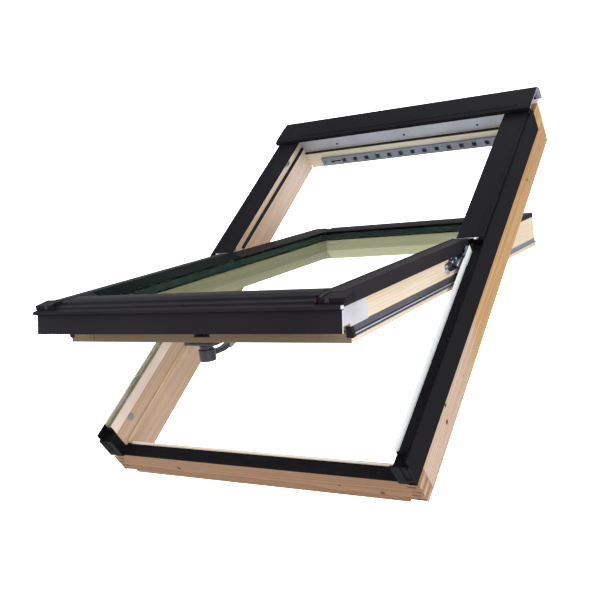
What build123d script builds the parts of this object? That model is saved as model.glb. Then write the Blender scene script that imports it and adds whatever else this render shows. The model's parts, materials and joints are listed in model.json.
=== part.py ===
from build123d import *
import math
import os

# Driving sizes of the roof window, in millimetres and degrees
FRAME_WIDTH = 780.0
FRAME_LENGTH = 1180.0
FRAME_DEPTH = 118.0
ROOF_PITCH = 45.0
OPEN_ANGLE = 33.0
HALF_SHARE = 0.5
SHEET = 1.5

# Outer timber frame
JAMB_WIDTH = 37.0
REBATE_DEPTH = 6.0
REBATE_HEIGHT = 46.0
HEAD_WIDTH = 22.0
HEAD_STEP_HEIGHT = 56.0
SILL_WIDTH = 35.0
SILL_DROP = 52.0
NOTCH_WIDTH = 38.0
NOTCH_DEPTH = 9.0
PILOT_RADIUS = 2.0
PILOT_DEPTH = 20.0
PILOT_LEVEL = 31.0
PILOT_LOW_SHARE = 0.25
PILOT_HIGH_SHARE = 0.80
SILL_PILOT_INSET = 183.0
DUCT_END_GAP = 72.0
DUCT_FLOOR = 8.0
DUCT_HEIGHT = 8.0
DUCT_LEVEL = 14.0
DUCT_MOUTH = 14.0

# Sheet cladding of the frame
STRIP_RISE = 16.0
STRIP_HEM = 4.0
STRIP_END_GAP = 65.0
COVER_RISE = 18.0
COVER_INNER_INSET = 71.0
COVER_OUTER_INSET = 5.0
COVER_LEG_INSET = 20.0
COVER_LIP = 3.5
COVER_HEAD_GAP = 30.0
PIVOT_SHARE = 0.524
PIVOT_LIFT = 8.0
SPLIT_DROP = 6.0
HOOD_OVERHANG = 2.0
HOOD_FRONT_GAP = 85.0
HOOD_FOLD = 16.0
HOOD_RISE = 32.5
HOOD_LIP = 12.0
HOOD_FRONT_DROP = 1.5
HOOD_BACK = 20.0
HOOD_BACK_SLOPE = 13.0
HOOD_BACK_LEG = 46.0
HOOD_WEB_INSET = 2.0
HOOD_WEB_END = 16.0
CLADDING_WIDTH = 31.0
CLADDING_THICK = 2.5
CLADDING_RIB_PLACE = 14.0
CLADDING_RIB_WIDTH = 2.0
CLADDING_RIB_HEIGHT = 1.0
CAP_FRONT = 4.0
CAP_TOP = 2.0
CAP_REACH = 34.0
CAP_TOP_INSET = 6.0
CAP_SIDE = 1.0
CAP_ROUND = 10.0
CAP_CHEEK = 1.5
CAP_CHEEK_REACH = 24.0
CAP_CHEEK_GAP = 0.3

# Strips, seals and the vent of the frame
FLASHING_SCREW_LEFT_INSET = 118.0
FLASHING_SCREW_OFFSET = 12.0
FLASHING_SCREW_RIGHT_INSET = 142.0
FLASHING_SCREW_RISE = 12.0
SCREW_HEAD_RADIUS = 3.5
SCREW_HEAD_HEIGHT = 1.5
HEAD_GASKET_HEIGHT = 5.0
HEAD_GASKET_DEPTH = 6.0
HEAD_GASKET_SETBACK = 1.0
JAMB_GASKET_DEPTH = 8.0
JAMB_GASKET_START = 12.0
CHANNEL_LEG = 4.0
CHANNEL_RISE = 22.0
CHANNEL_THICK = 1.5
CHANNEL_END_GAP = 8.0
VENT_END_INSET = 85.0
VENT_LOW_LEVEL = 6.0
VENT_HIGH_LEVEL = 34.0
VENT_HEIGHT = 7.0
VENT_WALL = 1.5
VENT_HOLE = 9.0
VENT_PITCH = 38.0
VENT_FIELD_INSET = 70.0
VENT_TRAVEL = 19.0
VENT_GAP = 0.7
VENT_SIDE_GAP = 1.5
SHUTTER_THICK = 1.6
KNOB_LENGTH = 10.0
KNOB_WIDTH = 4.0
KNOB_DROP = 4.0
KNOB_SLOT_WIDTH = 5.0
KNOB_SLOT_GAP = 3.0
KNOB_INSET = 38.0
VENT_SCREW_INSET = 9.0
BUSH_RADIUS = 9.0
BUSH_HOLE_RADIUS = 2.0
BUSH_HEIGHT = 2.0
BUSH_PLACE = 83.0
BUSH_DROP = 15.0
STRIKER_WIDTH = 42.0
STRIKER_THICK = 1.5
STRIKER_LIP = 3.5
STRIKER_LIP_THICK = 2.0
STRIKER_GAP = 3.0
STRIKER_DEPTH = 8.0

# Sash timber and glass
SASH_SIDE_GAP = 9.0
SASH_SILL_GAP = 8.0
SASH_HEAD_GAP = 48.0
SASH_SETBACK = 81.0
SASH_MEMBER = 66.0
BEVEL_WIDTH = 22.0
BEVEL_HEIGHT = 28.0
SASH_DEPTH = 80.0
BOTTOM_DEPTH = 66.0
REBATE_SLOPE_WIDTH = 18.0
REBATE_SLOPE_HEIGHT = 14.0
GLASS_SEAT = 59.0
GLASS_LAP = 14.0
GLASS_EDGE_GAP = 4.0
PANE_THICK = 4.0
SPACER_DEPTH = 16.0
SPACER_WIDTH = 8.0
SPACER_SETBACK = 4.0
NOSE_REACH = 50.0
NOSE_LEVEL = 36.0
RAIL_LOW = 11.0
RAIL_HIGH = 30.0
RAIL_UPPER_HIGH = 20.0
RAIL_INSET = 8.0

# Sash cladding
SKIRT_GAP = 2.5
SKIRT_LOW = 70.0
SASH_COVER_TOP = 98.0
SASH_COVER_WIDTH = 37.5
SASH_COVER_SLOPE = 23.0
SASH_COVER_FOOT = 9.0
SPLIT_GAP = 4.0
COVER_START_GAP = 1.0
COVER_END_OUT = 59.0
COVER_END_IN = 8.0
COVER_END_SIDE = 3.0
COVER_END_DROP = 5.0
COVER_END_GAP = 1.0
COVER_END_ROUND = 4.0
TRIM_THICK = 12.0
TRIM_LAP = 8.0
TRIM_EDGE = 3.0
TRIM_SLOPE = 28.0
FASCIA_HALF_INSET = 22.0
FASCIA_REACH = 69.0
FASCIA_TOP_REACH = 61.0
FASCIA_TOP = 73.0
FASCIA_THICK = 2.0
FASCIA_LAP = 12.0
NOSE_HALF_INSET = 19.0
LEDGE_OUT = 70.0
LEDGE_LOW = 76.0
LEDGE_HIGH = 82.0
STEP_ONE_IN = 56.0
STEP_TWO_IN = 54.0
STEP_THREE_IN = 38.0
STEP_FOUR_IN = 36.0
STEP_END_IN = 22.0
STEP_ONE = 84.0
STEP_TWO = 88.0
STEP_THREE = 90.0
STEP_FOUR = 94.0
LEDGE_END_IN = 52.0
PROFILE_LEG_PLACE = 33.0
PROFILE_LEG = 2.0
RIDGE_IN = 10.0
MITRE_GAP = 7.0
RIDGE_SIDE_GAP = 3.5
SLOPE_END = 60.0
SLOPE_FOOT = 12.0
PLATE_THICK = 2.0
PLATE_LOW = 55.0
PLATE_HIGH = 67.0
PLATE_TOP = 65.0
PLATE_CREST = 75.0
PLATE_GAP = 1.0
FIN_REACH = 26.0
FIN_LEVEL = 8.0
FIN_THICK = 2.0

# Curved hinge guides
GUIDE_RADIUS = 70.0
GUIDE_INNER_RADIUS = 42.0
GUIDE_SEAT_GAP = 1.0
TRACK_RADIUS = 60.0
TRACK_HALF = 5.0
TRACK_DEPTH = 3.5
GUIDE_HEAD_GAP = 3.0
GUIDE_SIDE_GAP = 12.0
TONGUE_GAP = 0.5
RUNNER_THICK = 4.0
RUNNER_HALF = 9.5
RUNNER_START_ANGLE = 16.0
RUNNER_END_ANGLE = 127.0
RUNNER_FOOT_LENGTH = 64.0
RUNNER_FOOT_START = 14.0
RUNNER_FOOT_LOW = 47.0
RUNNER_FOOT_HIGH = 66.0

# Handle
HANDLE_PLACE = 25.0
HANDLE_BASE_WIDTH = 62.0
HANDLE_BASE_LENGTH = 30.0
HANDLE_BASE_HEIGHT = 11.0
HANDLE_BASE_CHAMFER = 4.0
HUB_RADIUS = 13.0
HUB_HEIGHT = 24.0
HUB_GAP = 0.5
LEVER_WIDTH = 14.0
LEVER_THICK = 9.0
LEVER_BEND = 52.0
LEVER_END = 92.0
LEVER_TIP = 98.0
LEVER_RISE = 10.0
LEVER_TIP_RISE = 18.0
SPINDLE_RADIUS = 4.0
SPINDLE_GAP = 0.5
CAM_LOW = 12.0
CAM_HIGH = 17.0
CAM_REACH = 31.0
CAM_HALF = 6.0
CAM_GAP = 1.0

# Values shared by the pieces
half = FRAME_WIDTH * HALF_SHARE
rebate_level = FRAME_DEPTH - REBATE_HEIGHT
head_step_level = FRAME_DEPTH - HEAD_STEP_HEIGHT
sill_depth = FRAME_DEPTH - SILL_DROP
sash_level = FRAME_DEPTH - SASH_SETBACK
cover_level = FRAME_DEPTH + COVER_RISE
hood_level = FRAME_DEPTH + HOOD_RISE
bush_level = FRAME_DEPTH - BUSH_DROP
striker_level = sash_level + CAM_HIGH + STRIKER_GAP
jamb_face = half - JAMB_WIDTH
rebate_face = jamb_face + REBATE_DEPTH
head_face = FRAME_LENGTH - HEAD_WIDTH
head_step = head_face + REBATE_DEPTH
pivot_place = FRAME_LENGTH * PIVOT_SHARE
pivot_level = cover_level + PIVOT_LIFT
split = pivot_place - SPLIT_DROP
sash_half = jamb_face - SASH_SIDE_GAP
sash_low = SILL_WIDTH + SASH_SILL_GAP
sash_high = head_face - SASH_HEAD_GAP
sash_top = sash_level + SASH_DEPTH
bottom_top = sash_level + BOTTOM_DEPTH
rebate_edge = sash_top - REBATE_SLOPE_HEIGHT
member_face = sash_half - SASH_MEMBER
glass_half = member_face + GLASS_LAP
glass_low = sash_low + SASH_MEMBER - GLASS_LAP
glass_high = sash_high - SASH_MEMBER + GLASS_LAP
glass_level = sash_level + GLASS_SEAT
glass_top = glass_level + SPACER_DEPTH + PANE_THICK + PANE_THICK
wood_edge = glass_half + GLASS_EDGE_GAP
cover_half = jamb_face - SKIRT_GAP
cover_top = sash_level + SASH_COVER_TOP
cover_under = cover_level - SHEET
nose_low = sash_low - NOSE_REACH
nose_level = sash_level + NOSE_LEVEL


def block(u0, u1, v0, v1, w0, w1):
    middle = Pos((u0 + u1) * HALF_SHARE, (v0 + v1) * HALF_SHARE, (w0 + w1) * HALF_SHARE)
    return middle * Box(u1 - u0, v1 - v0, w1 - w0)


def across(outline, u0, u1):
    face = make_face(Polyline(*outline, close=True))
    return Pos(u0, 0, 0) * extrude(Plane.YZ * face, amount=u1 - u0)


def along(outline, v0, v1):
    face = make_face(Polyline(*outline, close=True))
    return Pos(0, v1, 0) * extrude(Plane.XZ * face, amount=v1 - v0)


def ring(outer, inner, u0, u1):
    face = Circle(outer) - Circle(inner)
    return Pos(u0, pivot_place, pivot_level) * extrude(Plane.YZ * face, amount=u1 - u0)


def rod(radius, start, axis, length):
    place = Plane(origin=start, z_dir=axis)
    return extrude(place * Circle(radius), amount=length)


def folded(points, thick):
    """Outline of a sheet folded along the points, thickened to the right of the run."""
    back = []
    for i, point in enumerate(points):
        turns = []
        for a, b in ((i - 1, i), (i, i + 1)):
            if a >= 0 and b < len(points):
                run = (points[b][0] - points[a][0], points[b][1] - points[a][1])
                size = math.hypot(*run)
                turns.append((run[1] / size, -run[0] / size))
        first, last = turns[0], turns[-1]
        scale = thick / (1 + first[0] * last[0] + first[1] * last[1])
        back.append((point[0] + (first[0] + last[0]) * scale, point[1] + (first[1] + last[1]) * scale))
    return list(points) + back[::-1]


def other_side(shape):
    return mirror(shape, about=Plane.YZ)


IN_ROOF = Rot(ROOF_PITCH, 0, 0) * Pos(0, -SILL_WIDTH * HALF_SHARE, 0)
OPENED = Pos(0, pivot_place, pivot_level) * Rot(-OPEN_ANGLE, 0, 0) * Pos(0, -pivot_place, -pivot_level)
os.makedirs("parts", exist_ok=True)


def keep_frame(name, shape):
    export_step(IN_ROOF * shape, "parts/" + name + ".step")


def keep_sash(name, shape):
    export_step(IN_ROOF * OPENED * shape, "parts/" + name + ".step")


# Sill board, full width, with notched back corners
sill = block(-half, half, 0, SILL_WIDTH, 0, sill_depth)
notch_start = half - NOTCH_WIDTH
for low, high in ((-half, -notch_start), (notch_start, half)):
    sill -= block(low, high, 0, SILL_WIDTH, 0, NOTCH_DEPTH)
for place in (SILL_PILOT_INSET - half, half - SILL_PILOT_INSET):
    sill -= rod(PILOT_RADIUS, (place, 0, PILOT_LEVEL), (0, 1, 0), PILOT_DEPTH)
keep_frame("frame_sill", sill)

# Head board with the air duct of the vent
head_outline = [
    (head_face, 0),
    (FRAME_LENGTH, 0),
    (FRAME_LENGTH, FRAME_DEPTH),
    (head_step, FRAME_DEPTH),
    (head_step, head_step_level),
    (head_face, head_step_level),
]
head = across(head_outline, -half, half)
for low, high in ((-half, -notch_start), (notch_start, half)):
    head -= block(low, high, head_face, FRAME_LENGTH, 0, NOTCH_DEPTH)
duct_half = jamb_face - DUCT_END_GAP
duct_low = head_face + DUCT_FLOOR
head -= block(-duct_half, duct_half, duct_low, duct_low + DUCT_HEIGHT, DUCT_LEVEL, FRAME_DEPTH)
head -= block(-duct_half, duct_half, head_face, duct_low, DUCT_LEVEL, DUCT_LEVEL + DUCT_MOUTH)
keep_frame("frame_head", head)

# Jambs, rebated inside for the sash and outside for the side strip
strip_end = FRAME_LENGTH - STRIP_END_GAP
jamb_outline = [
    (jamb_face, 0),
    (half, 0),
    (half, FRAME_DEPTH),
    (rebate_face, FRAME_DEPTH),
    (rebate_face, rebate_level),
    (jamb_face, rebate_level),
]
jamb = along(jamb_outline, 0, head_face)
jamb -= block(0, half, 0, SILL_WIDTH, 0, sill_depth)
jamb -= block(half - SHEET, half, 0, strip_end, sill_depth, FRAME_DEPTH)
for share in (PILOT_LOW_SHARE, PILOT_HIGH_SHARE):
    jamb -= rod(PILOT_RADIUS, (half, FRAME_LENGTH * share, PILOT_LEVEL), (-1, 0, 0), PILOT_DEPTH)
seat_radius = GUIDE_RADIUS + GUIDE_SEAT_GAP
jamb -= rod(seat_radius, (jamb_face, pivot_place, pivot_level), (1, 0, 0), REBATE_DEPTH)
keep_frame("frame_jamb_right", jamb)
keep_frame("frame_jamb_left", other_side(jamb))

# Side strips of dark sheet, standing above the jambs with a hem turned inward
strip_top = FRAME_DEPTH + STRIP_RISE
strip_points = [
    (half - STRIP_HEM, strip_top),
    (half, strip_top),
    (half, sill_depth),
]
strip = along(folded(strip_points, SHEET), 0, strip_end)
keep_frame("side_strip_right", strip)
keep_frame("side_strip_left", other_side(strip))

# Upper covers, a flat plate on a leg that stands on the jamb
plate_in = half - COVER_INNER_INSET
plate_out = half - COVER_OUTER_INSET
leg_in = half - COVER_LEG_INSET
cover_end = FRAME_LENGTH - COVER_HEAD_GAP
upper = block(plate_in, plate_out, split, cover_end, cover_under, cover_level)
upper += block(leg_in, leg_in + SHEET, split, cover_end, FRAME_DEPTH, cover_under)
upper += block(plate_in, plate_in + SHEET, split, cover_end, cover_under - COVER_LIP, cover_under)
keep_frame("upper_cover_right", upper)
keep_frame("upper_cover_left", other_side(upper))

# Hood over the head
hood_half = half + HOOD_OVERHANG
hood_front = FRAME_LENGTH - HOOD_FRONT_GAP
hood_back = FRAME_LENGTH + HOOD_BACK
hood_points = [
    (hood_front, hood_level - HOOD_LIP),
    (hood_front, hood_level - HOOD_FRONT_DROP),
    (hood_front + HOOD_FOLD, hood_level),
    (hood_back - HOOD_BACK_SLOPE, hood_level),
    (hood_back, hood_level - HOOD_BACK_SLOPE),
    (hood_back, hood_level - HOOD_BACK_LEG),
]
hood = across(folded(hood_points, SHEET), -hood_half, hood_half)
web_end = half - HOOD_WEB_END
web_back = FRAME_LENGTH - HOOD_WEB_INSET
hood += block(-web_end, web_end, web_back - SHEET, web_back, FRAME_DEPTH, hood_level - SHEET)
keep_frame("head_hood", hood)

# Dark cladding on the sill and the caps at its ends
clad_top = sill_depth + CLADDING_THICK
clad = block(-jamb_face, jamb_face, 0, CLADDING_WIDTH, sill_depth, clad_top)
rib_end = CLADDING_RIB_PLACE + CLADDING_RIB_WIDTH
clad += block(-jamb_face, jamb_face, CLADDING_RIB_PLACE, rib_end, clad_top, clad_top + CLADDING_RIB_HEIGHT)
keep_frame("sill_cladding", clad)
cap_top = FRAME_DEPTH + CAP_TOP
cheek_in = jamb_face - CAP_CHEEK
cap = block(cheek_in, half + CAP_SIDE, -CAP_FRONT, 0, sill_depth, cap_top)
cheek_low = clad_top + CLADDING_RIB_HEIGHT + CAP_CHEEK_GAP
cheek_step = rebate_level + CAP_CHEEK
cap += block(cheek_in, jamb_face, 0, CAP_CHEEK_REACH, cheek_low, cheek_step)
cap += block(jamb_face, rebate_face, 0, CAP_CHEEK_REACH, rebate_level, cheek_step)
cap += block(rebate_face - CAP_CHEEK, rebate_face, 0, CAP_CHEEK_REACH, rebate_level, cap_top)
tongue = block(rebate_face, half - CAP_TOP_INSET, 0, CAP_REACH, FRAME_DEPTH, cap_top)
tongue_corner = tongue.edges().filter_by(Axis.Z).sort_by(Axis.Y)[-2:].sort_by(Axis.X)[0]
cap += fillet(tongue_corner, CAP_ROUND)
cap -= block(half - CAP_TOP_INSET, half + CAP_SIDE, 0, CAP_REACH, sill_depth, cap_top)
keep_frame("sill_cap_right", cap)
keep_frame("sill_cap_left", other_side(cap))

# Metal strip, its screws and the seals under the head and on the jambs
flash = block(-jamb_face, jamb_face, head_step - SHEET, head_step, head_step_level, FRAME_DEPTH)
keep_frame("head_flashing", flash)
heads = []
screw_level = head_step_level + FLASHING_SCREW_RISE
screw_left = FLASHING_SCREW_LEFT_INSET - jamb_face
screw_right = jamb_face - FLASHING_SCREW_RIGHT_INSET
screw_places = (screw_left, -FLASHING_SCREW_OFFSET, screw_right)
for place in screw_places:
    start = (place, head_step - SHEET, screw_level)
    heads.append(rod(SCREW_HEAD_RADIUS, start, (0, -1, 0), SCREW_HEAD_HEIGHT))
keep_frame("flashing_screws", Compound(children=heads))
seal_high = head_step_level - HEAD_GASKET_SETBACK
seal_bottom = head_face - HEAD_GASKET_HEIGHT
seal = block(-jamb_face, jamb_face, seal_bottom, head_face, seal_high - HEAD_GASKET_DEPTH, seal_high)
keep_frame("head_gasket", seal)
gasket_start = pivot_place + GUIDE_RADIUS + JAMB_GASKET_START
gasket_high = rebate_level + JAMB_GASKET_DEPTH
gasket = block(jamb_face, rebate_face, gasket_start, head_face, rebate_level, gasket_high)
keep_frame("jamb_gasket_right", gasket)
keep_frame("jamb_gasket_left", other_side(gasket))

# Bright upstands on the inner edge of the lower jambs and the dark gutter beside them
channel_start = CAP_REACH
channel_end = pivot_place - GUIDE_RADIUS - CHANNEL_END_GAP
channel = block(
    rebate_face - CHANNEL_THICK,
    rebate_face,
    channel_start,
    channel_end,
    FRAME_DEPTH - CHANNEL_LEG,
    FRAME_DEPTH + CHANNEL_RISE,
)
keep_frame("jamb_channel_right", channel)
keep_frame("jamb_channel_left", other_side(channel))
gutter_end = split - SPLIT_GAP
gutter = block(rebate_face, half - SHEET, channel_start, gutter_end, FRAME_DEPTH, FRAME_DEPTH + SHEET)
keep_frame("gutter_sheet_right", gutter)
keep_frame("gutter_sheet_left", other_side(gutter))

# Vent box under the head, its screws and the sliding shutter
vent_half = half - VENT_END_INSET
vent_low = head_face - VENT_HEIGHT
vent = block(-vent_half, vent_half, vent_low, head_face, VENT_LOW_LEVEL, VENT_HIGH_LEVEL)
vent -= block(
    VENT_WALL - vent_half,
    vent_half - VENT_WALL,
    vent_low + VENT_WALL,
    head_face,
    VENT_LOW_LEVEL + VENT_WALL,
    VENT_HIGH_LEVEL - VENT_WALL,
)
vent_level = (VENT_LOW_LEVEL + VENT_HIGH_LEVEL) * HALF_SHARE
shutter_low = vent_low + VENT_WALL + VENT_GAP
shutter_high = shutter_low + SHUTTER_THICK
shutter_half = vent_half - VENT_WALL - VENT_TRAVEL - VENT_SIDE_GAP
shutter = block(
    -shutter_half,
    shutter_half,
    shutter_low,
    shutter_high,
    VENT_LOW_LEVEL + VENT_WALL + VENT_SIDE_GAP,
    VENT_HIGH_LEVEL - VENT_WALL - VENT_SIDE_GAP,
)
hole_half = VENT_HOLE * HALF_SHARE
hole_steps = int((vent_half - VENT_FIELD_INSET) * 2 / VENT_PITCH)
for i in range(hole_steps + 1):
    place = (i - hole_steps * HALF_SHARE) * VENT_PITCH
    hole = block(
        place - hole_half,
        place + hole_half,
        vent_low,
        shutter_high,
        vent_level - hole_half,
        vent_level + hole_half,
    )
    vent -= hole
    shutter -= hole
knob_half = KNOB_LENGTH * HALF_SHARE
knob_place = KNOB_INSET - vent_half
knob_side = KNOB_WIDTH * HALF_SHARE
slot_side = KNOB_SLOT_WIDTH * HALF_SHARE
knob = block(
    knob_place - knob_half,
    knob_place + knob_half,
    vent_low - KNOB_DROP,
    shutter_low,
    vent_level - knob_side,
    vent_level + knob_side,
)
vent -= block(
    knob_place - knob_half - KNOB_SLOT_GAP,
    knob_place + knob_half + KNOB_SLOT_GAP + VENT_TRAVEL,
    vent_low,
    shutter_low,
    vent_level - slot_side,
    vent_level + slot_side,
)
keep_frame("vent_grille", vent)
keep_frame("vent_shutter", shutter + knob)
heads = []
for place in (VENT_SCREW_INSET - vent_half, vent_half - VENT_SCREW_INSET):
    heads.append(rod(SCREW_HEAD_RADIUS, (place, vent_low, vent_level), (0, -1, 0), SCREW_HEAD_HEIGHT))
keep_frame("vent_screws", Compound(children=heads))

# Curved hinge guides on the jambs
guide = ring(GUIDE_RADIUS, GUIDE_INNER_RADIUS, jamb_face, rebate_face)
guide -= ring(
    TRACK_RADIUS + TRACK_HALF,
    TRACK_RADIUS - TRACK_HALF,
    jamb_face,
    jamb_face + TRACK_DEPTH,
)
guide_top = cover_level - GUIDE_HEAD_GAP
guide_mid = pivot_place - GUIDE_SIDE_GAP
guide_far = pivot_place + GUIDE_RADIUS
guide_near = pivot_place - GUIDE_RADIUS
guide_high = pivot_level + GUIDE_RADIUS
guide -= block(jamb_face, rebate_face, guide_mid, guide_far, guide_top, guide_high)
guide -= block(jamb_face, rebate_face, guide_near, guide_mid, pivot_level, guide_high)
keep_frame("hinge_guide_right", guide)
keep_frame("hinge_guide_left", other_side(guide))

# Bush for the cleaning bolt and the striker on the sill
bush = rod(BUSH_RADIUS, (-rebate_face, BUSH_PLACE, bush_level), (1, 0, 0), BUSH_HEIGHT)
bush -= rod(BUSH_HOLE_RADIUS, (-rebate_face, BUSH_PLACE, bush_level), (1, 0, 0), BUSH_HEIGHT)
keep_frame("bolt_bush", bush)
striker_half = STRIKER_WIDTH * HALF_SHARE
striker_top = SILL_WIDTH + STRIKER_THICK
striker = block(
    -striker_half,
    striker_half,
    SILL_WIDTH,
    striker_top,
    striker_level,
    striker_level + STRIKER_DEPTH,
)
striker += block(
    -striker_half,
    striker_half,
    SILL_WIDTH,
    SILL_WIDTH + STRIKER_LIP,
    striker_level,
    striker_level + STRIKER_LIP_THICK,
)
keep_frame("striker_plate", striker)

# Sash timber, built shut and then swung open
rail_face = sash_low + SASH_MEMBER
opening_low = sash_low + SASH_MEMBER
opening_high = sash_high - SASH_MEMBER
opening_middle = (opening_low + opening_high) * HALF_SHARE
opening_length = opening_high - opening_low
wide_face = Rectangle(
    member_face + member_face + BEVEL_WIDTH + BEVEL_WIDTH,
    opening_length + BEVEL_WIDTH + BEVEL_WIDTH,
)
tight_face = Rectangle(member_face + member_face, opening_length)
inner_bevel = loft(
    [
        Pos(0, opening_middle, sash_level) * wide_face,
        Pos(0, opening_middle, sash_level + BEVEL_HEIGHT) * tight_face,
    ]
)
bottom_outline = [
    (sash_low, sash_level),
    (rail_face, sash_level),
    (rail_face, glass_level),
    (glass_low - GLASS_EDGE_GAP, glass_level),
    (glass_low - GLASS_EDGE_GAP, bottom_top),
    (sash_low, bottom_top),
]
bottom = across(bottom_outline, -member_face, member_face)
for low, high in ((-wood_edge, -member_face), (member_face, wood_edge)):
    bottom += block(low, high, sash_low, glass_low - GLASS_EDGE_GAP, glass_level, bottom_top)
bottom += block(-sash_half, sash_half, nose_low, sash_low, nose_level, bottom_top)
handle_place = sash_low + HANDLE_PLACE
cam_low = sash_level + CAM_LOW
cam_high = sash_level + CAM_HIGH
cam_sweep = CAM_REACH + CAM_GAP
bottom -= block(
    -CAM_HALF - CAM_GAP,
    cam_sweep,
    sash_low,
    handle_place + CAM_HALF + CAM_GAP,
    cam_low - CAM_GAP,
    cam_high + CAM_GAP,
)
bottom -= rod(SPINDLE_RADIUS + SPINDLE_GAP, (0, handle_place, sash_level), (0, 0, 1), CAM_LOW)
bottom -= inner_bevel
keep_sash("sash_bottom_rail", bottom)
top_outline = [
    (sash_high - SASH_MEMBER, sash_level),
    (sash_high, sash_level),
    (sash_high, sash_top),
    (glass_high + GLASS_EDGE_GAP + REBATE_SLOPE_WIDTH, sash_top),
    (glass_high + GLASS_EDGE_GAP, rebate_edge),
    (glass_high + GLASS_EDGE_GAP, glass_level),
    (sash_high - SASH_MEMBER, glass_level),
]
top_rail = across(top_outline, -member_face, member_face)
shoulder_outline = [
    (glass_high + GLASS_EDGE_GAP, glass_level),
    (sash_high, glass_level),
    (sash_high, sash_top),
    (glass_high + GLASS_EDGE_GAP + REBATE_SLOPE_WIDTH, sash_top),
    (glass_high + GLASS_EDGE_GAP, rebate_edge),
]
for low, high in ((-wood_edge, -member_face), (member_face, wood_edge)):
    top_rail += across(shoulder_outline, low, high)
top_rail -= inner_bevel
keep_sash("sash_top_rail", top_rail)
stile_outline = [
    (member_face, sash_level),
    (sash_half, sash_level),
    (sash_half, sash_level + RAIL_LOW),
    (sash_half - RAIL_INSET, sash_level + RAIL_LOW),
    (sash_half - RAIL_INSET, sash_level + RAIL_HIGH),
    (sash_half, sash_level + RAIL_HIGH),
    (sash_half, sash_top),
    (wood_edge + REBATE_SLOPE_WIDTH, sash_top),
    (wood_edge, rebate_edge),
    (wood_edge, glass_level),
    (member_face, glass_level),
]
stile = along(stile_outline, sash_low, sash_high)
stile += block(
    sash_half - RAIL_INSET,
    sash_half,
    split,
    sash_high,
    sash_level + RAIL_UPPER_HIGH,
    sash_level + RAIL_HIGH,
)
stile -= inner_bevel
keep_sash("sash_stile_right", stile)
keep_sash("sash_stile_left", other_side(stile))

# Sealed glass unit
inner_top = glass_level + PANE_THICK
outer_low = inner_top + SPACER_DEPTH
keep_sash("inner_pane", block(-glass_half, glass_half, glass_low, glass_high, glass_level, inner_top))
keep_sash("outer_pane", block(-glass_half, glass_half, glass_low, glass_high, outer_low, glass_top))
space_half = glass_half - SPACER_SETBACK
space_low = glass_low + SPACER_SETBACK
space_high = glass_high - SPACER_SETBACK
spacer = block(-space_half, space_half, space_low, space_high, inner_top, outer_low)
spacer -= block(
    SPACER_WIDTH - space_half,
    space_half - SPACER_WIDTH,
    space_low + SPACER_WIDTH,
    space_high - SPACER_WIDTH,
    inner_top,
    outer_low,
)
keep_sash("glass_spacer", spacer)

# Seal rails let into the sides of the stiles
rail = block(
    sash_half - RAIL_INSET,
    sash_half,
    sash_low,
    sash_high,
    sash_level + RAIL_LOW,
    sash_level + RAIL_UPPER_HIGH,
)
rail += block(
    sash_half - RAIL_INSET,
    sash_half,
    sash_low,
    split,
    sash_level + RAIL_UPPER_HIGH,
    sash_level + RAIL_HIGH,
)
keep_sash("seal_rail_right", rail)
keep_sash("seal_rail_left", other_side(rail))

# Lower sash covers with a skirt outside and a slope down to the glass
step_end = sash_low - STEP_END_IN
slope_top = cover_half - SASH_COVER_WIDTH
slope_foot = slope_top - SASH_COVER_SLOPE
cover_points = [
    (slope_foot - SASH_COVER_FOOT, glass_top + SHEET),
    (slope_foot, glass_top + SHEET),
    (slope_top, cover_top),
    (cover_half, cover_top),
    (cover_half, sash_level + SKIRT_LOW),
]
side_cover = along(folded(cover_points, SHEET), step_end + COVER_START_GAP, split - SPLIT_GAP)
keep_sash("sash_cover_right", side_cover)
keep_sash("sash_cover_left", other_side(side_cover))

# Flat trims on the upper half of the sash
trim_top = sash_top + TRIM_THICK
trim_in = glass_half - TRIM_LAP
top_edge = glass_high - TRIM_LAP
side_trim_outline = [
    (wood_edge, rebate_edge),
    (wood_edge + REBATE_SLOPE_WIDTH, sash_top),
    (sash_half, sash_top),
    (sash_half, trim_top),
    (trim_in + TRIM_SLOPE, trim_top),
    (trim_in, glass_top + TRIM_EDGE),
    (trim_in, glass_top),
    (wood_edge, glass_top),
]
side_trim = along(side_trim_outline, split, sash_high)
trim_shoulder = wood_edge + REBATE_SLOPE_WIDTH
side_trim -= block(trim_in, trim_shoulder, glass_high + GLASS_EDGE_GAP, sash_high, glass_level, sash_top)
keep_sash("upper_trim_right", side_trim)
keep_sash("upper_trim_left", other_side(side_trim))
top_trim_outline = [
    (glass_high + GLASS_EDGE_GAP, rebate_edge),
    (glass_high + GLASS_EDGE_GAP + REBATE_SLOPE_WIDTH, sash_top),
    (sash_high, sash_top),
    (sash_high, trim_top),
    (top_edge + TRIM_SLOPE, trim_top),
    (top_edge, glass_top + TRIM_EDGE),
    (top_edge, glass_top),
    (glass_high + GLASS_EDGE_GAP, glass_top),
]
top_trim = across(top_trim_outline, -trim_in, trim_in)
keep_sash("top_trim", top_trim)

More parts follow.
